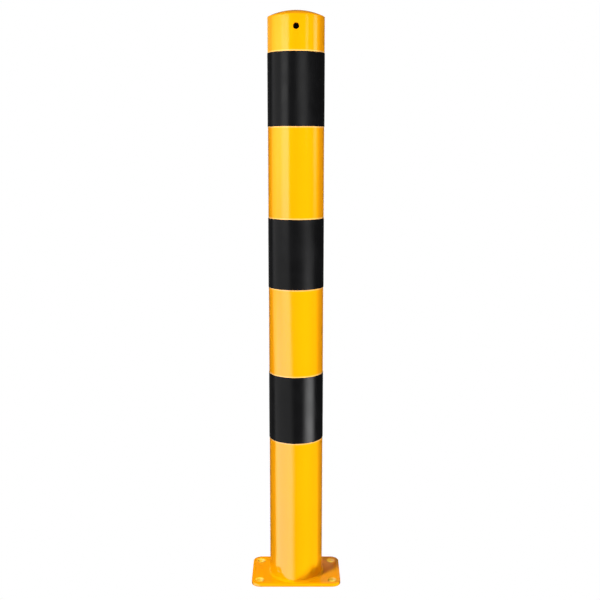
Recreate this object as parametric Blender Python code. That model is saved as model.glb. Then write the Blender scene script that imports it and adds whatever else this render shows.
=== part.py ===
"""Surface-mounted steel safety bollard, built as separate welded and wrapped pieces.

Metres, +Z up. The origin is on the floor, on the post's axis. -Y is the front, where the vent hole is.
"""

import math

import bmesh
import bpy

# Post: a round steel tube closed by a shallow dished cap.
TOTAL_HEIGHT = 1.200
TUBE_RADIUS = 0.05715
TUBE_WALL = 0.0036
CAP_RISE = 0.013
CAP_EDGE_RADIUS = 0.0012
CAP_WALL = 0.0036
CAP_SKIRT = 0.006
SEAM_ROOT = 0.001
SEAM_BEVEL = 0.002
SEAM_DEPTH = 0.0029
VENT_RADIUS = 0.006
VENT_HEIGHT = 1.164

# Base plate: a rounded rectangle with one anchor hole near each corner.
PLATE_WIDTH = 0.193
PLATE_DEPTH = 0.130
PLATE_THICKNESS = 0.007
PLATE_CORNER_RADIUS = 0.019
PLATE_EDGE_RADIUS = 0.001
ANCHOR_RADIUS = 0.009
ANCHOR_SPACING_X = 0.158
ANCHOR_SPACING_Y = 0.090
HOLE_CHAMFER = 0.0008
BASE_WELD_LEG = 0.0040
BASE_WELD_BULGE = 0.0003

# Black film bands, wrapped once round the tube and lapped at the back.
BAND_HEIGHT = 0.143
BAND_PITCH = 0.327
FIRST_BAND_BOTTOM = 0.3207
BAND_NAMES = ("black_band_lower", "black_band_middle", "black_band_upper")
FILM_THICKNESS = 0.0003
FILM_LAP = 0.012

# Clearance left between pieces that touch.
GAP = 0.0003

# Mesh fineness, and the sharpest angle that is still shaded as round.
ROUND_STEPS = 120
HOLE_STEPS = 40
CORNER_STEPS = 10
CAP_STEPS = 14
WELD_STEPS = 7
SMOOTH_ANGLE = math.radians(35)

SKIRT_TOP = TOTAL_HEIGHT - CAP_RISE
SEAM_HEIGHT = SKIRT_TOP - CAP_SKIRT
TUBE_BOTTOM = PLATE_THICKNESS + GAP

YELLOW = (0.93, 0.49, 0.005, 1.0)
BLACK = (0.018, 0.018, 0.02, 1.0)


def clear_scene():
    for obj in list(bpy.data.objects):
        bpy.data.objects.remove(obj, do_unlink=True)


def make_material(name, color, roughness):
    material = bpy.data.materials.new(name)
    material.use_nodes = True
    shader = material.node_tree.nodes["Principled BSDF"]
    shader.inputs["Base Color"].default_value = color
    shader.inputs["Roughness"].default_value = roughness
    return material


def make_object(name, mesh_builder, material=None):
    """Turns a filled bmesh into a named object in the scene, shaded smooth where it is round."""
    bmesh.ops.recalc_face_normals(mesh_builder, faces=mesh_builder.faces)
    mesh = bpy.data.meshes.new(name)
    mesh_builder.to_mesh(mesh)
    mesh_builder.free()
    mesh.shade_smooth()
    mesh.set_sharp_from_angle(angle=SMOOTH_ANGLE)
    obj = bpy.data.objects.new(name, mesh)
    bpy.context.scene.collection.objects.link(obj)
    if material:
        mesh.materials.append(material)
    return obj


def ring_of(builder, radius, height, steps):
    """One ring of vertices, or a single vertex where the profile meets the axis."""
    if radius == 0:
        return [builder.verts.new((0, 0, height))]
    turns = [2 * math.pi * i / steps for i in range(steps)]
    return [builder.verts.new((radius * math.cos(a), radius * math.sin(a), height)) for a in turns]


def join_rings(builder, first, second):
    """Faces between two neighbouring rings, either of which may be a single point."""
    steps = max(len(first), len(second))
    for i in range(steps):
        j = (i + 1) % steps
        if len(first) == 1:
            corners = (first[0], second[i], second[j])
        elif len(second) == 1:
            corners = (first[i], first[j], second[0])
        else:
            corners = (first[i], first[j], second[j], second[i])
        builder.faces.new(corners)


def lathe(profile, closed, steps=ROUND_STEPS):
    """Revolves (radius, height) points about Z. closed joins the last point to the first."""
    builder = bmesh.new()
    rings = [ring_of(builder, radius, height, steps) for radius, height in profile]
    for first, second in zip(rings, rings[1:]):
        join_rings(builder, first, second)
    if closed:
        join_rings(builder, rings[-1], rings[0])
    return builder


def arc(center, radius, start, end, steps):
    """Points of an arc in the (radius, height) plane, angles in degrees."""
    points = []
    for i in range(steps + 1):
        angle = math.radians(start + (end - start) * i / steps)
        points.append((center[0] + radius * math.cos(angle), center[1] + radius * math.sin(angle)))
    return points


def cut(obj, cutter):
    """Subtracts the cutter with an exact Boolean and keeps the cutter out of the render."""
    cutter.hide_render = True
    cutter.display_type = "WIRE"
    modifier = obj.modifiers.new(cutter.name, "BOOLEAN")
    modifier.operation = "DIFFERENCE"
    modifier.solver = "EXACT"
    modifier.object = cutter


def rounded_rectangle(width, depth, radius):
    """Outline points of a rectangle with round corners, counter-clockwise."""
    points = []
    for quarter, (sign_x, sign_y) in enumerate(((1, 1), (-1, 1), (-1, -1), (1, -1))):
        center = (sign_x * (width / 2 - radius), sign_y * (depth / 2 - radius))
        points += arc(center, radius, 90 * quarter, 90 * quarter + 90, CORNER_STEPS)
    return points


def build_base_plate(material):
    """Flat plate with softened edges and four through holes with small chamfers."""
    soft = PLATE_EDGE_RADIUS
    levels = (
        (soft, 0),
        (0, soft),
        (0, PLATE_THICKNESS - soft),
        (0.3 * soft, PLATE_THICKNESS - 0.3 * soft),
        (soft, PLATE_THICKNESS),
    )
    builder = bmesh.new()
    loops = []
    for inset, height in levels:
        outline = rounded_rectangle(
            PLATE_WIDTH - 2 * inset, PLATE_DEPTH - 2 * inset, PLATE_CORNER_RADIUS - inset
        )
        loops.append([builder.verts.new((x, y, height)) for x, y in outline])
    for lower, upper in zip(loops, loops[1:]):
        join_rings(builder, lower, upper)
    builder.faces.new(list(reversed(loops[0])))
    builder.faces.new(loops[-1])
    plate = make_object("base_plate", builder, material)
    for i, sign_x in enumerate((-1, 1)):
        for j, sign_y in enumerate((-1, 1)):
            cutter = make_object(f"anchor_cutter_{i}{j}", lathe(anchor_hole_profile(), False, HOLE_STEPS))
            cutter.location = (sign_x * ANCHOR_SPACING_X / 2, sign_y * ANCHOR_SPACING_Y / 2, 0)
            cut(plate, cutter)
    return plate


def anchor_hole_profile():
    """A through hole whose two mouths flare by the chamfer and go on past the faces."""
    flare = 0.002
    mouth = ANCHOR_RADIUS + HOLE_CHAMFER + flare
    top = PLATE_THICKNESS
    return [
        (0, -flare),
        (mouth, -flare),
        (ANCHOR_RADIUS, HOLE_CHAMFER),
        (ANCHOR_RADIUS, top - HOLE_CHAMFER),
        (mouth, top + flare),
        (0, top + flare),
    ]


def build_post_tube(material):
    """Round tube with a bevelled top edge for the cap's weld and a vent hole at the front."""
    inner = TUBE_RADIUS - TUBE_WALL
    top = SEAM_HEIGHT - SEAM_ROOT / 2
    profile = [
        (inner, TUBE_BOTTOM),
        (TUBE_RADIUS, TUBE_BOTTOM),
        (TUBE_RADIUS, top - SEAM_BEVEL),
        (TUBE_RADIUS - SEAM_DEPTH, top),
        (inner, top),
    ]
    tube = make_object("post_tube", lathe(profile, True), material)
    cut(tube, build_vent_cutter())
    return tube


def build_vent_cutter():
    """A drill-shaped cutter along Y that goes through the front wall only."""
    reach = 0.012
    flare = 0.0012
    profile = [
        (0, -reach),
        (VENT_RADIUS, -reach),
        (VENT_RADIUS, -HOLE_CHAMFER),
        (VENT_RADIUS + HOLE_CHAMFER + flare, flare),
        (0, flare),
    ]
    cutter = make_object("vent_cutter", lathe(profile, False, HOLE_STEPS))
    cutter.rotation_euler = (math.pi / 2, 0, 0)
    cutter.location = (0, -TUBE_RADIUS, VENT_HEIGHT)
    return cutter


def build_top_cap(material):
    """Dished cap: short skirt with a weld bevel, a small edge radius and a shallow spherical top."""
    bottom = SEAM_HEIGHT + SEAM_ROOT / 2
    inner = TUBE_RADIUS - CAP_WALL
    sphere = (TUBE_RADIUS**2 + CAP_RISE**2) / (2 * CAP_RISE)
    center = TOTAL_HEIGHT - sphere
    # The edge radius touches the skirt and the inside of the sphere.
    edge_x = TUBE_RADIUS - CAP_EDGE_RADIUS
    edge_z = center + math.sqrt((sphere - CAP_EDGE_RADIUS) ** 2 - edge_x**2)
    edge_end = math.degrees(math.atan2(edge_z - center, edge_x))
    profile = [
        (inner, bottom),
        (TUBE_RADIUS - SEAM_DEPTH, bottom),
        (TUBE_RADIUS, bottom + SEAM_BEVEL),
    ]
    profile += arc((edge_x, edge_z), CAP_EDGE_RADIUS, 0, edge_end, 4)
    profile += arc((0, center), sphere, edge_end, 90, CAP_STEPS)[1:-1]
    profile.append((0, TOTAL_HEIGHT))
    inner_sphere = sphere - CAP_WALL
    inner_start = math.degrees(math.acos(inner / inner_sphere))
    inside = [(0, center + inner_sphere)]
    inside += arc((0, center), inner_sphere, 90, inner_start, CAP_STEPS)[1:]
    return make_object("top_cap", lathe_cap(profile, inside), material)


def lathe_cap(profile, inside):
    """Revolves the outside, which ends on the axis, and the inside, which starts there. Their rims join."""
    rings = profile + inside
    builder = bmesh.new()
    made = [ring_of(builder, radius, height, ROUND_STEPS) for radius, height in rings]
    apex = len(profile) - 1
    for i, (first, second) in enumerate(zip(made, made[1:])):
        if i != apex:
            join_rings(builder, first, second)
    join_rings(builder, made[-1], made[0])
    return builder


def build_cap_weld(material):
    """Weld ring between the tube and the cap, ground flush with both."""
    half_mouth = SEAM_ROOT / 2 + SEAM_BEVEL - GAP
    half_root = SEAM_ROOT / 2
    depth = SEAM_DEPTH - GAP
    profile = [
        (TUBE_RADIUS - depth, SEAM_HEIGHT - half_root),
        (TUBE_RADIUS, SEAM_HEIGHT - half_mouth),
        (TUBE_RADIUS, SEAM_HEIGHT + half_mouth),
        (TUBE_RADIUS - depth, SEAM_HEIGHT + half_root),
    ]
    return make_object("cap_weld", lathe(profile, True), material)


def build_base_weld(material):
    """Slightly convex fillet weld round the foot of the tube."""
    corner = (TUBE_RADIUS + GAP, PLATE_THICKNESS + GAP)
    profile = [corner]
    for i in range(WELD_STEPS + 1):
        part = i / WELD_STEPS
        bulge = BASE_WELD_BULGE * math.sin(math.pi * part)
        profile.append(
            (
                corner[0] + BASE_WELD_LEG * (1 - part) + bulge,
                corner[1] + BASE_WELD_LEG * part + bulge,
            )
        )
    return make_object("base_weld", lathe(profile, True), material)


def build_band(name, bottom, material):
    """One film band: a thin sleeve that is twice as thick where its ends lap, at the back."""
    inner = TUBE_RADIUS + GAP
    outer = inner + FILM_THICKNESS
    half_lap = FILM_LAP / 2 / outer
    lap_radius = outer + FILM_THICKNESS
    back = math.pi / 2
    stations = []
    for i in range(ROUND_STEPS):
        angle = back + half_lap + (2 * math.pi - 2 * half_lap) * i / (ROUND_STEPS - 1)
        stations.append((angle, outer))
    for angle in (back - half_lap + 0.002, back, back + half_lap - 0.002):
        stations.append((angle, lap_radius))
    builder = bmesh.new()
    loops = []
    for radial, height in ((0, 0), (1, 0), (1, 1), (0, 1)):
        loop = []
        for angle, film_radius in stations:
            radius = film_radius if radial else inner
            z = bottom + BAND_HEIGHT * height
            loop.append(builder.verts.new((radius * math.cos(angle), radius * math.sin(angle), z)))
        loops.append(loop)
    for i, loop in enumerate(loops):
        join_rings(builder, loop, loops[(i + 1) % 4])
    return make_object(name, builder, material)


def main():
    clear_scene()
    paint = make_material("yellow_paint", YELLOW, 0.25)
    film = make_material("black_film", BLACK, 0.35)
    build_base_plate(paint)
    build_post_tube(paint)
    build_base_weld(paint)
    build_top_cap(paint)
    build_cap_weld(paint)
    for i, name in enumerate(BAND_NAMES):
        build_band(name, FIRST_BAND_BOTTOM + BAND_PITCH * i, film)


main()
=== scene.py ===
"""Steel safety bollard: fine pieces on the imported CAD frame, procedural materials and a plain studio."""

import math

import bmesh
import bpy
import numpy as np
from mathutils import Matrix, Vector


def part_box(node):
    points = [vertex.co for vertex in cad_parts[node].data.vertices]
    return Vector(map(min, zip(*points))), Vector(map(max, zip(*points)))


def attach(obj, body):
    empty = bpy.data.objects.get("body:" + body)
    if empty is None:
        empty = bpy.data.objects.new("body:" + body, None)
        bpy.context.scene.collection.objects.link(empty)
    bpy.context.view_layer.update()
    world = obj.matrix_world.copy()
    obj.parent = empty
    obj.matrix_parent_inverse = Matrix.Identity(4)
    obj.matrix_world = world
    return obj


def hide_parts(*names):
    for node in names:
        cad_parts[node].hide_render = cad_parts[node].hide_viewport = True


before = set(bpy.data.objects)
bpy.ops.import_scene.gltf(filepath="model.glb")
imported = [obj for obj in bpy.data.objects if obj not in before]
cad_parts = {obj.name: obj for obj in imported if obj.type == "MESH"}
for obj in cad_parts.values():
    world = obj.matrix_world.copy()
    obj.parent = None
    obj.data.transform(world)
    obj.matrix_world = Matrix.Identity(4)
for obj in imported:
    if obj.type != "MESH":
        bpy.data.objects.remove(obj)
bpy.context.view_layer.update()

# Sizes read from the CAD frame, in metres.
TUBE_LOW, TUBE_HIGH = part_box("post_tube")
CAP_LOW, CAP_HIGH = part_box("top_cap")
_, PLATE_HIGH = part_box("base_plate")
_, WELD_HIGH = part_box("base_weld")
SEAM_LOW, SEAM_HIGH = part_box("cap_weld")
TUBE_RADIUS = TUBE_HIGH.x
PLATE_TOP = PLATE_HIGH.z

# Sizes that the frame's boxes don't give, as the CAD model has them.
TUBE_WALL = 0.0036
CAP_RISE = 0.013
VENT_RADIUS = 0.006
VENT_HEIGHT = 1.164
ANCHOR_RADIUS = 0.009
ANCHOR_SPACING = (0.158, 0.090)
PLATE_CORNER_RADIUS = 0.019
BAND_LEVELS = ("lower", "middle", "upper")

# Finer details of the surface, with turns round the post in radians.
MICRON = 1e-6
TUBE_STEPS = 256
TUBE_FOOT_REACH = 0.0002
CAP_EDGE_RADIUS = 0.0013
CAP_SIDE_RING = 0.003
PLATE_TOP_EDGE = 0.0011
PLATE_LOW_EDGE = 0.0006
ANCHOR_MOUTH = 0.0011
ANCHOR_DRILL_REACH = 0.02
VENT_MOUTH = 0.0005
VENT_DRILL_REACH = 0.012
SEAM_OVERLAP = 0.0006
SEAM_DEPTH = 0.0015
WELD_RIPPLES = 88
WELD_STEPS = WELD_RIPPLES * 8
WELD_INSET = 0.0002
WELD_DEPTH = 0.0004
WELD_SINK = 0.0003
WELD_LUMP_TURN = 1.75
WELD_LUMP_FADE = 0.05
FILM_THICKNESS = 0.00055
FILM_GAP = 0.00002
FILM_EDGE = 0.0002
FILM_LAP_ANGLE = 0.20
FILM_LAP_FADE = 0.004
# Width of the painted highlight lines beside the band edges.
EDGE_HIGHLIGHT_WIDTH = 0.0031
# Fade of the painted highlight on the anchor holes' walls.
BORE_FADE = 0.0006
UNDER_HOLE_MARGIN = 0.003

# Materials. A colour is linear red, green, blue and alpha.
WHITE = (1.0, 1.0, 1.0, 1.0)
GOLD = (1.0, 0.65, 0.006, 1.0)
YELLOW = (0.90, 0.345, 0.0, 1.0)
# Paler yellow painted as a highlight on the anchor holes' walls.
PAINTED_BORE_HIGHLIGHT = (0.98, 0.60, 0.06, 1.0)
# Paler yellow painted as a highlight beside the band edges.
PAINTED_EDGE_HIGHLIGHT = (0.95, 0.49, 0.14, 1.0)
BLACK = (0.0040, 0.0040, 0.0043, 1.0)
# Dark steel inside the post, and painted shade on the vent's bore.
MILL_SCALE_AND_BORE_SHADE = (0.010, 0.009, 0.008, 1.0)
RUSTY_SCALE_AND_BORE_SHADE = (0.035, 0.022, 0.016, 1.0)
UNDER_HOLE = (1.0, 0.68, 0.05, 1.0)
COATING_IOR = 1.5

# Studio: levels of brightness, lengths in metres and angles in degrees.
MIRRORED_WORLD = 0.03
AMBIENT = 0.08
FLAG_PASSES = 0.22
FLAG_PLACE = -0.0625
REAR_WALL = 0.19
GLOW_TOP = (9.0, 13.0)
PANEL_REACH = 34.0
FLOOR_DROP = 0.0004
LIGHT_TARGET = (0.0, 0.0, 0.6)

# Camera: sensor and lens in millimetres, shift as a part of the sensor, tilt in degrees.
SENSOR_WIDTH = 36.0
LENS = 52.43
LENS_SHIFT = (0.00658, 0.01667)
CAMERA_PLACE = (0.0, -1.8108, 0.9353)
CAMERA_TILT = 10.597


# ---------------------------------------------------------------- node helpers

class Nodes:
    """Short ways to add and join shader nodes in one tree."""

    def __init__(self, tree):
        self.tree = tree
        tree.nodes.clear()

    def add(self, kind, **settings):
        node = self.tree.nodes.new(kind)
        for name, value in settings.items():
            setattr(node, name, value)
        return node

    def set(self, node, name, value):
        """Sets an input to a plain value, or joins it to another node's output."""
        socket = node.inputs[name]
        if isinstance(value, bpy.types.NodeSocket):
            self.tree.links.new(value, socket)
        else:
            socket.default_value = value

    def math(self, operation, first, second=0.0, third=0.0):
        node = self.add("ShaderNodeMath", operation=operation)
        for i, value in enumerate((first, second, third)):
            self.set(node, i, value)
        return node.outputs[0]

    def remap(self, value, source, target=(0.0, 1.0), smooth=True):
        """Maps the source range to the target range, and holds the end values past it."""
        kind = "SMOOTHSTEP" if smooth else "LINEAR"
        node = self.add("ShaderNodeMapRange", interpolation_type=kind)
        for i, part in enumerate((value, *source, *target)):
            self.set(node, i, part)
        return node.outputs[0]

    def past(self, value, edge, soft):
        """0 before the edge and 1 past it, changing smoothly over `soft` on each side."""
        return self.remap(value, (self.math("SUBTRACT", edge, soft), self.math("ADD", edge, soft)))

    def window(self, value, low, high, soft):
        """1 between low and high, changing smoothly to 0 over `soft` on each side of both."""
        return self.math("SUBTRACT", self.past(value, low, soft), self.past(value, high, soft))

    def split(self, vector):
        node = self.add("ShaderNodeSeparateXYZ")
        self.set(node, 0, vector)
        return node.outputs

    def noise(self, vector, scale, detail=2.0, roughness=0.5):
        node = self.add("ShaderNodeTexNoise")
        self.set(node, "Vector", vector)
        self.set(node, "Scale", scale)
        self.set(node, "Detail", detail)
        self.set(node, "Roughness", roughness)
        return node.outputs["Fac"]

    def upright(self, vector, squeeze):
        """The place with its height squeezed, so that a noise there makes upright streaks."""
        node = self.add("ShaderNodeMapping")
        self.set(node, "Vector", vector)
        self.set(node, "Scale", (1.0, 1.0, squeeze))
        return node.outputs["Vector"]

    def mix_color(self, factor, first, second):
        node = self.add("ShaderNodeMix", data_type="RGBA")
        self.set(node, 0, factor)
        self.set(node, 6, first)
        self.set(node, 7, second)
        return node.outputs[2]

    def bump(self, height, distance, strength, normal=None):
        node = self.add("ShaderNodeBump")
        self.set(node, "Height", height)
        self.set(node, "Distance", distance)
        self.set(node, "Strength", strength)
        if normal is not None:
            self.set(node, "Normal", normal)
        return node.outputs["Normal"]

    def surface(self, shader, output="ShaderNodeOutputMaterial"):
        """Joins the shader to the tree's output."""
        self.set(self.add(output), "Surface", shader.outputs[0])


def new_material(name):
    """An empty material, the helper for its nodes, and the place on the object."""
    material = bpy.data.materials.new(name)
    material.use_nodes = True
    nodes = Nodes(material.node_tree)
    return material, nodes, nodes.add("ShaderNodeTexCoord").outputs["Object"]


# ------------------------------------------------------------------- materials

def scaled(color, *factors):
    """The colour with its red, green and blue multiplied."""
    return (*(part * factor for part, factor in zip(color, factors)), 1.0)


def anchor_distance(nodes, place):
    """Level distance from the nearest anchor hole's axis."""
    squares = []
    for value, spacing in zip(nodes.split(place), ANCHOR_SPACING):
        offset = nodes.math("SUBTRACT", nodes.math("ABSOLUTE", value), spacing / 2)
        squares.append(nodes.math("POWER", nodes.math("ABSOLUTE", offset), 2.0))
    return nodes.math("SQRT", nodes.math("ADD", *squares))


def painted_edge_highlights(nodes, place):
    """1 in the thin lines beside each band's edges on the paint, where a paler colour is painted as a
    highlight, and 0 elsewhere.
    """
    height = nodes.split(place)[2]
    lines = 0.0
    for level in BAND_LEVELS:
        low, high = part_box(f"black_band_{level}")
        for edge in (low.z, high.z):
            offset = nodes.math("ABSOLUTE", nodes.math("SUBTRACT", height, edge))
            line = nodes.remap(offset, (EDGE_HIGHLIGHT_WIDTH / 2, EDGE_HIGHLIGHT_WIDTH), (1.0, 0.0))
            lines = nodes.math("MAXIMUM", lines, line)
    return lines


def powder_coat():
    """Glossy yellow powder coat: orange peel, faint thickness drift and dull handling marks.

    It is painted paler in thin lines beside the band edges and on the anchor holes' walls, as painted
    highlights."""
    material, nodes, place = new_material("yellow_powder_coat")
    shader = nodes.add("ShaderNodeBsdfPrincipled")
    drift = nodes.noise(place, scale=9.0, detail=3.0)
    speckle = nodes.math("MULTIPLY", nodes.noise(place, scale=900.0), 0.2)
    tone = nodes.math("ADD", nodes.math("MULTIPLY", drift, 0.8), speckle)
    paint = nodes.mix_color(tone, scaled(YELLOW, 0.96, 0.93, 1.0), scaled(YELLOW, 1.04, 1.06, 1.0))
    # Painted highlight: a paler line beside each band edge.
    paint = nodes.mix_color(painted_edge_highlights(nodes, place), paint, PAINTED_EDGE_HIGHLIGHT)
    # Painted highlight: the anchor holes' walls are painted paler.
    bore_wall = (ANCHOR_RADIUS, ANCHOR_RADIUS + BORE_FADE)
    painted_bore_light = nodes.remap(anchor_distance(nodes, place), bore_wall, (1.0, 0.0))
    nodes.set(shader, "Base Color", nodes.mix_color(painted_bore_light, paint, PAINTED_BORE_HIGHLIGHT))
    scuffs = nodes.noise(nodes.upright(place, 0.12), scale=260.0, detail=4.0, roughness=0.65)
    marks = nodes.remap(scuffs, (0.60, 0.76), (0.0, 0.10))
    clean = nodes.remap(drift, (0.3, 0.7), (0.09, 0.14))
    nodes.set(shader, "Roughness", nodes.math("ADD", clean, marks))
    peel = nodes.bump(nodes.noise(place, scale=520.0, detail=1.5), distance=0.0003, strength=0.30)
    waves = nodes.noise(place, scale=95.0, detail=1.0)
    nodes.set(shader, "Normal", nodes.bump(waves, distance=0.0008, strength=0.08, normal=peel))
    nodes.set(shader, "IOR", COATING_IOR)
    nodes.set(shader, "Specular IOR Level", 0.5)
    nodes.surface(shader)
    return material


def black_film():
    """Semi-gloss black self-adhesive film: fine grain, upright stretch lines and a faint unevenness."""
    material, nodes, place = new_material("black_film")
    shader = nodes.add("ShaderNodeBsdfPrincipled")
    cloud = nodes.noise(place, scale=30.0, detail=3.0)
    nodes.set(shader, "Base Color", nodes.mix_color(cloud, BLACK, scaled(BLACK, 1.5, 1.5, 1.5)))
    nodes.set(shader, "Roughness", nodes.remap(cloud, (0.3, 0.7), (0.17, 0.25)))
    stretch = nodes.noise(nodes.upright(place, 0.05), scale=170.0)
    lines = nodes.bump(stretch, distance=0.0004, strength=0.12)
    uneven = nodes.noise(place, scale=480.0, detail=1.5)
    uneven = nodes.bump(uneven, distance=0.0003, strength=0.22, normal=lines)
    grain = nodes.noise(place, scale=1500.0)
    nodes.set(shader, "Normal", nodes.bump(grain, distance=0.00008, strength=0.30, normal=uneven))
    nodes.set(shader, "IOR", COATING_IOR)
    nodes.set(shader, "Specular IOR Level", 0.09)
    nodes.surface(shader)
    return material


def dark_steel_and_bore_shade():
    """Dark mill-scale steel inside the post; the same dark colour on the vent's bore is painted shade."""
    material, nodes, place = new_material("dark_steel_and_painted_bore_shade")
    shader = nodes.add("ShaderNodeBsdfPrincipled")
    cloud = nodes.noise(place, scale=60.0, detail=5.0, roughness=0.6)
    nodes.set(shader, "Base Color", nodes.mix_color(cloud, MILL_SCALE_AND_BORE_SHADE, RUSTY_SCALE_AND_BORE_SHADE))
    nodes.set(shader, "Roughness", nodes.remap(cloud, (0.3, 0.7), (0.55, 0.8)))
    nodes.set(shader, "Normal", nodes.bump(cloud, distance=0.0004, strength=0.3))
    nodes.surface(shader)
    return material


# --------------------------------------------------------------- mesh building

def add_object(name, data):
    obj = bpy.data.objects.new(name, data)
    bpy.context.scene.collection.objects.link(obj)
    return obj


def add_mesh(name, builder):
    mesh = bpy.data.meshes.new(name)
    builder.to_mesh(mesh)
    builder.free()
    return add_object(name, mesh)


def ring_surface(name, loops, closed=False, caps=False):
    """A mesh through rings of points. closed joins the last ring to the first, caps fills both ends."""
    builder = bmesh.new()
    rings = [[builder.verts.new(p) for p in loop] for loop in loops]
    pairs = list(zip(rings, rings[1:])) + ([(rings[-1], rings[0])] if closed else [])
    for first, second in pairs:
        steps = max(len(first), len(second))
        for i in range(steps):
            j = (i + 1) % steps
            corners = [first[i % len(first)], first[j % len(first)]]
            corners += [second[j % len(second)], second[i % len(second)]]
            builder.faces.new(list(dict.fromkeys(corners)))
    if caps:
        builder.faces.new(list(reversed(rings[0])))
        builder.faces.new(rings[-1])
    bmesh.ops.recalc_face_normals(builder, faces=builder.faces)
    return add_mesh(name, builder)


def ring(steps, shape, *given):
    """A ring of points round the Z axis. shape gives the radius and the height at each turn."""
    points = []
    for turn in np.arange(steps) * 2 * math.pi / steps:
        radius, height = shape(turn, *given)
        points.append((radius * math.cos(turn), radius * math.sin(turn), height))
    return points


def circle(radius, height, steps):
    """A level ring, or one point on the axis."""
    if radius == 0:
        return [(0.0, 0.0, height)]
    return ring(steps, lambda turn: (radius, height))


def arc(center, radius, start, end, steps):
    """Points of an arc in a plane, angles in degrees."""
    angles = np.radians(np.linspace(start, end, steps + 1))
    return [(center[0] + radius * math.cos(a), center[1] + radius * math.sin(a)) for a in angles]


def lathe(name, profile, closed, steps=TUBE_STEPS):
    """A mesh from a profile of radii and heights, turned round the Z axis."""
    return ring_surface(name, [circle(r, z, steps) for r, z in profile], closed)


def subtract(obj, cutters):
    """Cuts closed shapes out of the piece and keeps only the result."""
    for cutter in cutters:
        modifier = obj.modifiers.new("cut", "BOOLEAN")
        modifier.operation = "DIFFERENCE"
        modifier.solver = "EXACT"
        modifier.object = cutter
    bpy.context.view_layer.update()
    graph = bpy.context.evaluated_depsgraph_get()
    result = bpy.data.meshes.new_from_object(obj.evaluated_get(graph))
    result.name = obj.name
    obj.modifiers.clear()
    obj.data = result
    for cutter in cutters:
        bpy.data.objects.remove(cutter, do_unlink=True)


def smooth(obj, degrees):
    """Smooth shading, with a sharp edge where two faces meet at more than this angle."""
    obj.data.shade_smooth()
    obj.data.set_sharp_from_angle(angle=math.radians(degrees))


def adopt(obj, node, slot, *materials):
    """Gives the piece its materials and puts it in the place of a CAD node."""
    for material in materials:
        obj.data.materials.append(material)
    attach(obj, "root")
    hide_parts(node)
    return obj


# ---------------------------------------------------------------------- pieces

def rounded_outline(width, depth, radius, height):
    """A level rectangle of points with round corners."""
    points = []
    for quarter, (sx, sy) in enumerate(((1, 1), (-1, 1), (-1, -1), (1, -1))):
        center = (sx * (width / 2 - radius), sy * (depth / 2 - radius))
        points += arc(center, radius, 90 * quarter, 90 * quarter + 90, 20)
    return [(x, y, height) for x, y in points]


def drill(name, radius, top, mouth, reach, steps):
    """A closed cutter along Z that ends above `top`, with a rounded mouth there."""
    profile = [(0.0, top - reach), (radius, top - reach)]
    profile += [(radius + mouth - x, top - mouth + y) for x, y in arc((0, 0), mouth, 0, 90, 5)]
    profile += [(radius + mouth, top + mouth), (0.0, top + mouth)]
    return lathe(name, profile, False, steps)


def build_plate(paint):
    """Plate with edges rounded by the coating and four anchor holes with soft rims."""
    width, depth = PLATE_HIGH.x * 2, PLATE_HIGH.y * 2
    low_edge = arc((PLATE_LOW_EDGE, PLATE_LOW_EDGE), PLATE_LOW_EDGE, 270, 180, 3)
    top_edge = arc((PLATE_TOP_EDGE, PLATE_TOP - PLATE_TOP_EDGE), PLATE_TOP_EDGE, 180, 90, 4)
    loops = []
    for inset, height in low_edge + top_edge:
        sides = (width - 2 * inset, depth - 2 * inset)
        loops.append(rounded_outline(*sides, PLATE_CORNER_RADIUS - inset, height))
    plate = ring_surface("plate_coated", loops, caps=True)
    cutters = []
    for sx in (-1, 1):
        for sy in (-1, 1):
            cutter = drill("anchor_drill", ANCHOR_RADIUS, PLATE_TOP, ANCHOR_MOUTH, ANCHOR_DRILL_REACH, 72)
            cutter.location = (sx * ANCHOR_SPACING[0] / 2, sy * ANCHOR_SPACING[1] / 2, 0)
            cutters.append(cutter)
    subtract(plate, cutters)
    smooth(plate, 30.0)
    return adopt(plate, "base_plate", "yellow_paint", paint)


def build_tube(paint, inside):
    """Tube with a rounded vent mouth. Its rings are closer together round the vent."""
    inner = TUBE_RADIUS - TUBE_WALL
    bottom, top = TUBE_LOW.z - TUBE_FOOT_REACH, TUBE_HIGH.z
    plain_rings = np.linspace(0.05, 1.14, 24)
    vent_rings = np.linspace(1.148, 1.178, 21)
    heights = [bottom, *plain_rings, *vent_rings, top]
    profile = [(inner, bottom)] + [(TUBE_RADIUS, z) for z in heights] + [(inner, top)]
    tube = lathe("tube_coated", profile, True)
    cutter = drill("vent_drill", VENT_RADIUS, 0.0, VENT_MOUTH, VENT_DRILL_REACH, 64)
    cutter.rotation_euler = (math.pi / 2, 0, 0)
    cutter.location = (0, -TUBE_RADIUS, VENT_HEIGHT)
    subtract(tube, [cutter])
    smooth(tube, 32.0)
    adopt(tube, "post_tube", "yellow_paint", paint, inside)
    # The inner wall and the vent's bore get the dark steel; on the bore it is painted shade.
    for face in tube.data.polygons:
        if Vector(face.center[:2]).length < TUBE_RADIUS - VENT_MOUTH * 2:
            face.material_index = 1
    return tube


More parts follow.
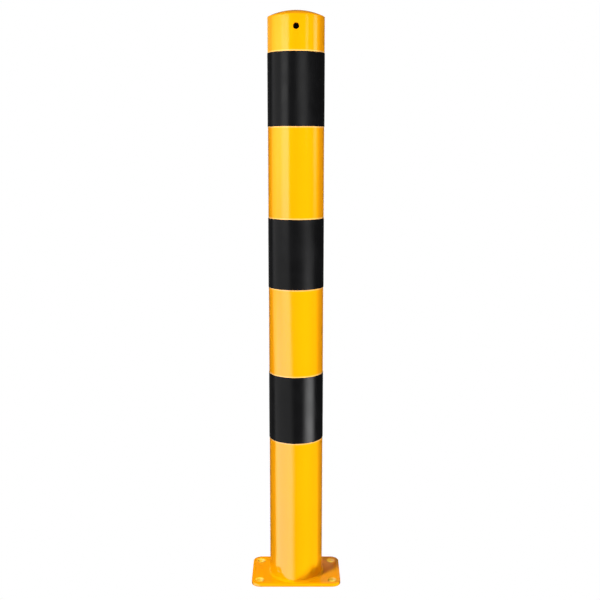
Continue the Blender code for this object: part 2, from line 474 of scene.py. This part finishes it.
def build_cap(paint):
    """Shallow spherical cap with a small edge radius, hollow underneath."""
    sphere = (TUBE_RADIUS**2 + CAP_RISE**2) / (2 * CAP_RISE)
    center = CAP_HIGH.z - sphere
    edge_x = TUBE_RADIUS - CAP_EDGE_RADIUS
    edge_z = center + math.sqrt((sphere - CAP_EDGE_RADIUS) ** 2 - edge_x**2)
    edge_end = math.degrees(math.atan2(edge_z - center, edge_x))
    inner_sphere = sphere - TUBE_WALL
    inner_x = TUBE_RADIUS - TUBE_WALL
    inner_start = math.degrees(math.acos(inner_x / inner_sphere))
    inside = arc((0, center), inner_sphere, inner_start, 89.0, 16)
    side = [(TUBE_RADIUS, CAP_LOW.z), (TUBE_RADIUS, CAP_LOW.z + CAP_SIDE_RING)]
    edge = arc((edge_x, edge_z), CAP_EDGE_RADIUS, 0, edge_end, 6)
    dome = arc((0, center), sphere, edge_end, 90, 28)[1:-1] + [(0, CAP_HIGH.z)]
    cap = lathe("cap_coated", inside[::-1] + [(inner_x, CAP_LOW.z)] + side + edge + dome, False)
    smooth(cap, 40.0)
    return adopt(cap, "top_cap", "yellow_paint", paint)


def build_seam(paint):
    """Ground seam weld between tube and cap: a trace of a rounded ridge under the coating."""
    low, high = SEAM_LOW.z - SEAM_OVERLAP, SEAM_HIGH.z + SEAM_OVERLAP
    middle, half = (low + high) / 2, (high - low) / 2

    def ridge(turn, part):
        """Radius and height on the ridge, where part grows from -1 at its foot to 1 at its top."""
        swell = (24 + 6 * math.sin(7 * turn + 0.4) + 4 * math.sin(17 * turn)) * MICRON
        return TUBE_RADIUS - 20 * MICRON + swell * (1 - part * part) ** 2, middle + half * part

    loops = [circle(TUBE_RADIUS - SEAM_DEPTH, low, TUBE_STEPS)]
    for part in np.linspace(-1, 1, 13):
        loops.append(ring(TUBE_STEPS, ridge, part))
    loops.append(circle(TUBE_RADIUS - SEAM_DEPTH, high, TUBE_STEPS))
    seam = ring_surface("seam_ground", loops, closed=True)
    smooth(seam, 40.0)
    return adopt(seam, "cap_weld", "yellow_paint", paint)


def build_weld(paint):
    """Fillet bead with crescent ripples, a slow drift in size and one stop-start lump at the back."""
    leg = WELD_HIGH.x - TUBE_RADIUS - WELD_INSET

    def face(turn, part):
        """Radius and height on the bead, where part grows from 0 at the plate to 1 at the tube."""
        middle = math.sin(math.pi * part)
        phase = WELD_RIPPLES * turn + 1.6 * middle + 0.5 * math.sin(5 * turn)
        ripple = 120 * MICRON * middle * (0.5 + 0.5 * math.cos(phase)) ** 0.7
        lump = 500 * MICRON * middle * math.exp(-(((turn - WELD_LUMP_TURN) / WELD_LUMP_FADE) ** 2))
        bulge = ripple + lump - 200 * MICRON * middle
        size = leg * (1 + 0.05 * math.sin(3 * turn + 1) + 0.04 * math.sin(11 * turn))
        return TUBE_RADIUS + size * (1 - part) + bulge, PLATE_TOP + size * part + bulge

    loops = [circle(TUBE_RADIUS - WELD_DEPTH, PLATE_TOP - WELD_SINK, WELD_STEPS)]
    for part in np.linspace(0, 1, 11):
        loops.append(ring(WELD_STEPS, face, part))
    loops.append(circle(TUBE_RADIUS - WELD_DEPTH, PLATE_TOP + leg * 1.02, WELD_STEPS))
    weld = ring_surface("weld_bead", loops, closed=True)
    smooth(weld, 60.0)
    return adopt(weld, "base_weld", "yellow_paint", paint)


def build_film(name, node, film, seed):
    """One wrapped band: soft cut edges, a lap at the back and a trace of waviness in the cut line."""
    low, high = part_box(node)
    inner, outer, soft = TUBE_RADIUS + FILM_GAP, TUBE_RADIUS + FILM_THICKNESS, FILM_EDGE
    edge = [(inner, 0.0), (outer - soft, 0.0), (outer - soft * 0.3, soft * 0.3), (outer, soft)]
    edge += [(outer, soft * 1.8), (outer, soft * 4), (outer, soft * 10)]
    levels = [(radius, low.z + rise) for radius, rise in edge]
    levels += [(outer, z) for z in np.linspace(low.z, high.z, 9)[1:-1]]
    levels += [(radius, high.z - rise) for radius, rise in reversed(edge)]

    def wrapped(turn, radius, height):
        """Radius and height with the lap's rise and, at the edges, the waviness of the cut."""
        beside_lap = max(0.0, abs(turn - math.pi / 2) - FILM_LAP_ANGLE / 2)
        lap = 250 * MICRON * math.exp(-((beside_lap / FILM_LAP_FADE) ** 2))
        wave = (100 * math.sin(3 * turn + seed) + 60 * math.sin(8 * turn + 2 * seed)) * MICRON
        return radius + (lap if radius > inner else 0.0), height + (wave if radius < outer else 0.0)

    loops = [ring(TUBE_STEPS * 2, wrapped, radius, height) for radius, height in levels]
    band = ring_surface(name, loops, closed=True)
    smooth(band, 50.0)
    return adopt(band, node, "black_film", film)


def build_bollard():
    paint, film, inside = powder_coat(), black_film(), dark_steel_and_bore_shade()
    pieces = [build_plate(paint), build_tube(paint, inside), build_weld(paint)]
    pieces += [build_cap(paint), build_seam(paint)]
    for i, level in enumerate(BAND_LEVELS):
        pieces.append(build_film(f"film_{level}", f"black_band_{level}", film, 1.3 * i))
    return pieces


# ---------------------------------------------------------------------- studio

def hide_from(obj, *rays):
    """Hides the object from rays of these kinds."""
    for ray in rays:
        setattr(obj, f"visible_{ray}", False)


def build_floor():
    """A plain white floor, with warm paint-coloured light in the shade under the anchor holes."""
    floor = lathe("floor", [(r, 0.0) for r in (30.0, 3.0, 0.8, 0.2, 0.0)], False, 96)
    floor.location.z = -FLOOR_DROP
    material, nodes, place = new_material("pale_floor")
    outside = nodes.math("GREATER_THAN", anchor_distance(nodes, place), ANCHOR_RADIUS + UNDER_HOLE_MARGIN)
    glow = nodes.add("ShaderNodeEmission")
    nodes.set(glow, "Color", nodes.mix_color(outside, UNDER_HOLE, WHITE))
    nodes.surface(glow)
    floor.data.materials.append(material)
    hide_from(floor, "glossy", "diffuse", "shadow")


def build_world():
    """Surroundings that are white to the camera, nearly black in reflections and a dim fill otherwise."""
    world = bpy.data.worlds.new("studio")
    bpy.context.scene.world = world
    world.use_nodes = True
    nodes = Nodes(world.node_tree)
    path = nodes.add("ShaderNodeLightPath")
    glossy, camera = path.outputs["Is Glossy Ray"], path.outputs["Is Camera Ray"]
    others = nodes.math("SUBTRACT", 1.0, nodes.math("ADD", glossy, camera))
    strength = nodes.math("MULTIPLY_ADD", glossy, MIRRORED_WORLD, camera)
    strength = nodes.math("MULTIPLY_ADD", others, AMBIENT, strength)
    background = nodes.add("ShaderNodeBackground")
    nodes.set(background, "Color", WHITE)
    nodes.set(background, "Strength", strength)
    nodes.surface(background, "ShaderNodeOutputWorld")
    world.cycles.sampling_method = "NONE"


def curved_panel(name, start, end, radius):
    """A tall curved sheet that stands far round the post between two angles."""
    turns = np.radians(np.linspace(start, end, 25))
    builder = bmesh.new()
    rows = []
    for height in np.linspace(-PANEL_REACH, PANEL_REACH, 9):
        row = [(radius * math.sin(turn), -radius * math.cos(turn), height) for turn in turns]
        rows.append([builder.verts.new(p) for p in row])
    for lower, upper in zip(rows, rows[1:]):
        for i in range(len(turns) - 1):
            builder.faces.new((lower[i], lower[i + 1], upper[i + 1], upper[i]))
    return add_mesh(name, builder)


def add_reflector(name, start, end, radius, color, receivers, shape, low_only=True):
    """A see-through glow that shows only in the reflections of the given pieces.

    shape gives its brightness at a turn and a rise: turn is 0 at the front and grows to the right,
    rise grows upwards. low_only ends the glow at GLOW_TOP, so that the plate and the dome, which
    mirror higher directions, don't show it."""
    panel = curved_panel(name, start, end, radius)
    material, nodes, place = new_material(name)
    direction = nodes.add("ShaderNodeVectorMath", operation="NORMALIZE")
    nodes.set(direction, 0, place)
    x, y, z = nodes.split(direction.outputs[0])
    turn = nodes.math("DEGREES", nodes.math("ARCTAN2", x, nodes.math("MULTIPLY", y, -1.0)))
    rise = nodes.math("DEGREES", nodes.math("ARCSINE", z))
    strength = shape(nodes, turn, rise)
    if low_only:
        strength = nodes.math("MULTIPLY", strength, nodes.remap(rise, GLOW_TOP, (1.0, 0.0)))
    glow = nodes.add("ShaderNodeEmission")
    nodes.set(glow, "Color", color)
    nodes.set(glow, "Strength", strength)
    both = nodes.add("ShaderNodeAddShader")
    nodes.set(both, 0, glow.outputs[0])
    nodes.set(both, 1, nodes.add("ShaderNodeBsdfTransparent").outputs[0])
    nodes.surface(both)
    panel.data.materials.append(material)
    hide_from(panel, "camera", "diffuse", "shadow")
    group = bpy.data.collections.new(name + "_receivers")
    for piece in receivers:
        group.objects.link(piece)
    panel.light_linking.receiver_collection = group


def left_far_side(nodes, turn, rise, far_end, soft_end):
    """0 beyond the left softbox's far side, which lies further round and is softer higher up."""
    far = nodes.remap(rise, (-18.0, -7.0), (-101.0, far_end))
    soft = nodes.remap(rise, (-14.0, -5.0), (3.0, soft_end))
    return nodes.past(turn, far, soft)


def left_window(nodes, turn, rise, far_end):
    """1 in the tall softbox at the left, whose near side comes closer to the front lower down."""
    near = nodes.remap(rise, (-20.0, -4.0), (-12.5, -30.0), smooth=False)
    soft = nodes.remap(rise, (-20.0, -6.0), (11.0, 3.5))
    far_side = left_far_side(nodes, turn, rise, far_end, 9.0)
    return nodes.math("SUBTRACT", far_side, nodes.past(turn, near, soft))


def top_rim(nodes, turn, rise):
    """The dim side of the left softbox, seen only at the far left near the top."""
    side = nodes.remap(turn, (-126.0, -116.0), (1.0, 0.0))
    return nodes.math("MULTIPLY", side, nodes.remap(rise, (2.0, 6.0)))


def white_left_shape(nodes, turn, rise):
    """White part of the left softbox, dimmer towards its far side over the upper part of the post."""
    ramp = nodes.remap(turn, (-100.0, -82.0), (1.2, 2.9), smooth=False)
    far = nodes.remap(turn, (-70.0, -50.0), (1.0, 0.0))
    far = nodes.math("MULTIPLY", far, nodes.remap(rise, (-13.0, -5.0)))
    ramp = nodes.math("MULTIPLY", ramp, nodes.math("MULTIPLY_ADD", far, -0.62, 1.0))
    rim = nodes.math("MULTIPLY", top_rim(nodes, turn, rise), 0.18)
    return nodes.math("MULTIPLY_ADD", ramp, left_window(nodes, turn, rise, -116.0), rim)


def gold_left_shape(nodes, turn, rise):
    """Golden part of the left softbox: wide and strong at the top, strongest at its far side below."""
    high = nodes.remap(rise, (-10.0, 5.0))
    upper = nodes.math("MULTIPLY", nodes.window(turn, -92.0, -50.0, 16.0), 2.0)
    upper = nodes.math("ADD", upper, nodes.remap(turn, (-30.0, -4.0), (4.4, 1.5)))
    upper = nodes.math("MULTIPLY", upper, high)
    lower = nodes.remap(turn, (-100.0, -66.0), (2.9, 0.8))
    lower = nodes.math("ADD", lower, nodes.remap(turn, (-14.0, 0.0), (0.0, 0.7)))
    lower = nodes.math("MULTIPLY", lower, nodes.math("SUBTRACT", 1.0, high))
    far_side = left_far_side(nodes, turn, rise, -114.0, 15.0)
    rim = nodes.math("MULTIPLY", top_rim(nodes, turn, rise), 0.9)
    return nodes.math("MULTIPLY_ADD", far_side, nodes.math("ADD", upper, lower), rim)


def gold_right_shape(nodes, turn, rise):
    """Grows from the front to the right and ends behind the right side."""
    growth = nodes.remap(turn, (0.0, 46.0), (1.5, 4.6), smooth=False)
    ended = nodes.past(turn, nodes.remap(rise, (-21.0, -12.0), (111.0, 101.0)), 14.0)
    return nodes.math("MULTIPLY", growth, nodes.math("SUBTRACT", 1.0, ended))


def lamps_shape(nodes, turn, rise):
    """Two narrow upright lamps: one seen near the top of the post, one over its upper half."""
    inner = nodes.remap(rise, (4.0, 6.5), (0.0, 1.8))
    inner = nodes.math("MULTIPLY", inner, nodes.window(turn, 40.0, 48.0, 3.5))
    outer = nodes.remap(rise, (-7.0, 3.0), (0.0, 1.2))
    outer = nodes.math("ADD", outer, nodes.remap(rise, (3.0, 6.0), (0.0, 1.1)))
    return nodes.math("MULTIPLY_ADD", outer, nodes.window(turn, 76.0, 92.0, 4.0), inner)


def back_shape(nodes, turn, rise):
    """A narrow upright lamp straight behind the post, seen only from the back."""
    behind = nodes.math("SUBTRACT", 180.0, nodes.math("ABSOLUTE", turn))
    return nodes.remap(behind, (5.0, 13.0), (1.9, 0.0))


def rear_wall_shape(nodes, turn, rise):
    """A dim patch high behind the post at the right, which the plate mirrors at a flat angle."""
    return nodes.math("MULTIPLY", nodes.window(turn, 158.0, 179.3, 0.7), REAR_WALL)


def film_left_shape(nodes, turn, rise):
    """Left softbox as the film shows it: even, with a brighter part at the top and a dim rim beyond."""
    part = nodes.window(turn, -60.0, -34.0, 9.0)
    top = nodes.math("MULTIPLY", part, nodes.remap(rise, (-3.0, 2.5)))
    level = nodes.math("MULTIPLY_ADD", top, 4.6, 1.9)
    rim = nodes.remap(turn, (-114.0, -104.0), (0.065, 0.0))
    return nodes.math("MULTIPLY_ADD", level, left_window(nodes, turn, rise, -110.0), rim)


def film_right_shape(nodes, turn, rise):
    """A broad upright streak that lies further right lower down and is brightest near its foot."""
    center = nodes.remap(rise, (3.5, -6.8), (24.0, 55.0), smooth=False)
    center = nodes.math("ADD", center, nodes.remap(rise, (-7.0, -17.0), (0.0, 4.0), smooth=False))
    level = nodes.remap(rise, (3.0, -6.0), (4.5, 2.1))
    level = nodes.math("ADD", level, nodes.remap(rise, (-11.0, -15.0), (0.0, 18.5)))
    offset = nodes.math("SUBTRACT", turn, center)
    return nodes.math("MULTIPLY", nodes.window(offset, -18.0, 18.0, 15.0), level)


def build_reflectors(pieces):
    films = [piece for piece in pieces if piece.name.startswith("film")]
    painted = [piece for piece in pieces if piece not in films]
    plate = [piece for piece in pieces if piece.name.startswith("plate")]
    # Name, start and end in degrees, radius in metres, colour, receivers and shape.
    add_reflector("white_left", -165.0, 0.0, 40.0, WHITE, painted, white_left_shape)
    add_reflector("gold_left", -165.0, 0.0, 41.0, GOLD, painted, gold_left_shape)
    add_reflector("gold_right", 0.0, 140.0, 42.0, GOLD, painted, gold_right_shape)
    add_reflector("lamps", 30.0, 100.0, 43.0, WHITE, painted, lamps_shape)
    add_reflector("film_left", -165.0, 0.0, 44.0, WHITE, films, film_left_shape)
    add_reflector("film_right", -20.0, 100.0, 45.0, WHITE, films, film_right_shape)
    add_reflector("film_back", 160.0, 200.0, 43.5, WHITE, films, back_shape)
    add_reflector("paint_back", 160.0, 200.0, 44.5, WHITE, painted, back_shape)
    add_reflector("rear_wall", 150.0, 182.0, 45.5, WHITE, plate, rear_wall_shape, low_only=False)


def add_soft_light(name, turn, rise, distance, size, level):
    """A square light at that angle from the post's middle, hidden from reflections and the camera.

    A white surface that faces it gets the brightness `level`."""
    data = bpy.data.lights.new(name, "AREA")
    data.shape = "SQUARE"
    data.size = size
    data.energy = level * math.pi**2 * distance**2
    data.cycles.use_multiple_importance_sampling = False
    light = add_object(name, data)
    a, e = math.radians(turn), math.radians(rise)
    flat = distance * math.cos(e)
    place = (flat * math.sin(a), -flat * math.cos(a), LIGHT_TARGET[2] + distance * math.sin(e))
    light.location = place
    light.rotation_euler = (Vector(LIGHT_TARGET) - Vector(place)).to_track_quat("-Z", "Y").to_euler()
    hide_from(light, "camera", "glossy")
    return light


def build_foot_flag(key):
    """An upright half-clear card with a sloping top, before the right foot of the post.

    It dims every light there except the key."""
    outline = [(-0.004, 0.0085), (0.150, 0.0085), (0.150, 0.044), (0.055, 0.044), (-0.004, 0.0115)]
    mesh = bpy.data.meshes.new("foot_flag")
    mesh.from_pydata([(x, FLAG_PLACE, z) for x, z in outline], [], [tuple(range(len(outline)))])
    flag = add_object("foot_flag", mesh)
    material, nodes, _ = new_material("foot_flag")
    gauze = nodes.add("ShaderNodeBsdfTransparent")
    nodes.set(gauze, "Color", scaled(WHITE, FLAG_PASSES, FLAG_PASSES, FLAG_PASSES))
    nodes.surface(gauze)
    mesh.materials.append(material)
    hide_from(flag, "camera", "diffuse", "glossy", "transmission")
    passed = bpy.data.collections.new("foot_flag_passed")
    passed.objects.link(flag)
    passed.collection_objects[0].light_linking.link_state = "EXCLUDE"
    key.light_linking.blocker_collection = passed


def build_lights():
    add_soft_light("front", turn=0.0, rise=6.0, distance=4.0, size=1.6, level=0.88)
    key = add_soft_light("key", turn=-45.0, rise=57.0, distance=9.0, size=1.3, level=0.93)
    build_foot_flag(key)
    add_soft_light("right", turn=60.0, rise=0.0, distance=5.0, size=1.6, level=0.48)
    add_soft_light("left", turn=-95.0, rise=0.0, distance=5.0, size=1.6, level=0.14)
    add_soft_light("back_right", turn=155.0, rise=-7.0, distance=4.0, size=1.6, level=0.85)
    add_soft_light("back_left", turn=-155.0, rise=-7.0, distance=4.0, size=1.6, level=0.75)


def build_camera():
    data = bpy.data.cameras.new("camera")
    data.sensor_width = SENSOR_WIDTH
    data.lens = LENS
    data.shift_x, data.shift_y = LENS_SHIFT
    camera = add_object("camera", data)
    camera.location = CAMERA_PLACE
    camera.rotation_euler = (math.radians(90.0 - CAMERA_TILT), 0.0, 0.0)
    bpy.context.scene.camera = camera


pieces = build_bollard()
build_floor()
build_world()
build_lights()
build_reflectors(pieces)
build_camera()
bpy.context.scene.view_settings.view_transform = "Standard"
bpy.context.scene.view_settings.look = "None"
